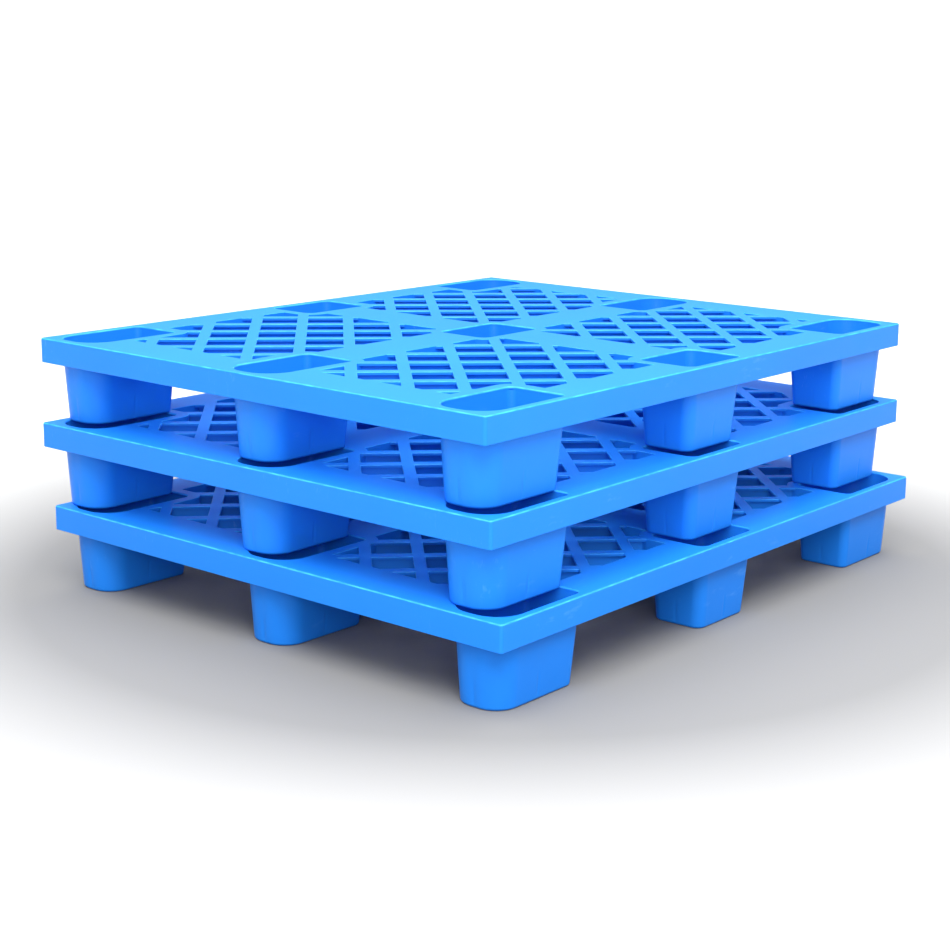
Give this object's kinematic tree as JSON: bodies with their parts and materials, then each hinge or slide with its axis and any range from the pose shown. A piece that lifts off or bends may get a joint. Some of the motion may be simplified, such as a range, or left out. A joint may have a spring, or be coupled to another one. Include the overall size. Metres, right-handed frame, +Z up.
{
  "type": "stack of plastic pallets",
  "caption": "Stack of nestable plastic pallets: open lattice decks with a plain skirt, each on hollow tapered feet that leave fork lanes both ways.",
  "frame": {"origin": "on the floor under the middle of the lowest pallet, at the centre of its middle foot's underside", "axes": "+Z up; +X along the 1200 mm length of the decks, towards the right-hand feet; +Y along their 1000 mm width, towards the back feet"},
  "size_m": [1.216, 1.0418, 0.429],
  "materials": {
    "deck_plastic": "satin blue polyethylene",
    "foot_plastic": "satin blue polyethylene"
  },
  "bodies": {
    "lower_pallet": {"lower_deck": "deck_plastic", "lower_foot_front_left": "foot_plastic", "lower_foot_front_centre": "foot_plastic", "lower_foot_front_right": "foot_plastic", "lower_foot_mid_left": "foot_plastic", "lower_foot_mid_centre": "foot_plastic", "lower_foot_mid_right": "foot_plastic", "lower_foot_back_left": "foot_plastic", "lower_foot_back_centre": "foot_plastic", "lower_foot_back_right": "foot_plastic"},
    "middle_pallet": {"middle_deck": "deck_plastic", "middle_foot_front_left": "foot_plastic", "middle_foot_front_centre": "foot_plastic", "middle_foot_front_right": "foot_plastic", "middle_foot_mid_left": "foot_plastic", "middle_foot_mid_centre": "foot_plastic", "middle_foot_mid_right": "foot_plastic", "middle_foot_back_left": "foot_plastic", "middle_foot_back_centre": "foot_plastic", "middle_foot_back_right": "foot_plastic"},
    "upper_pallet": {"upper_deck": "deck_plastic", "upper_foot_front_left": "foot_plastic", "upper_foot_front_centre": "foot_plastic", "upper_foot_front_right": "foot_plastic", "upper_foot_mid_left": "foot_plastic", "upper_foot_mid_centre": "foot_plastic", "upper_foot_mid_right": "foot_plastic", "upper_foot_back_left": "foot_plastic", "upper_foot_back_centre": "foot_plastic", "upper_foot_back_right": "foot_plastic"}
  },
  "joints": [
    {"name": "middle_lift", "type": "slide", "parent": "lower_pallet", "child": "middle_pallet", "axis": [0, 0, 1], "range_m": [0, 0.3]},
    {"name": "upper_lift", "type": "slide", "parent": "middle_pallet", "child": "upper_pallet", "axis": [0, 0, 1], "range_m": [0, 0.3]}
  ]
}
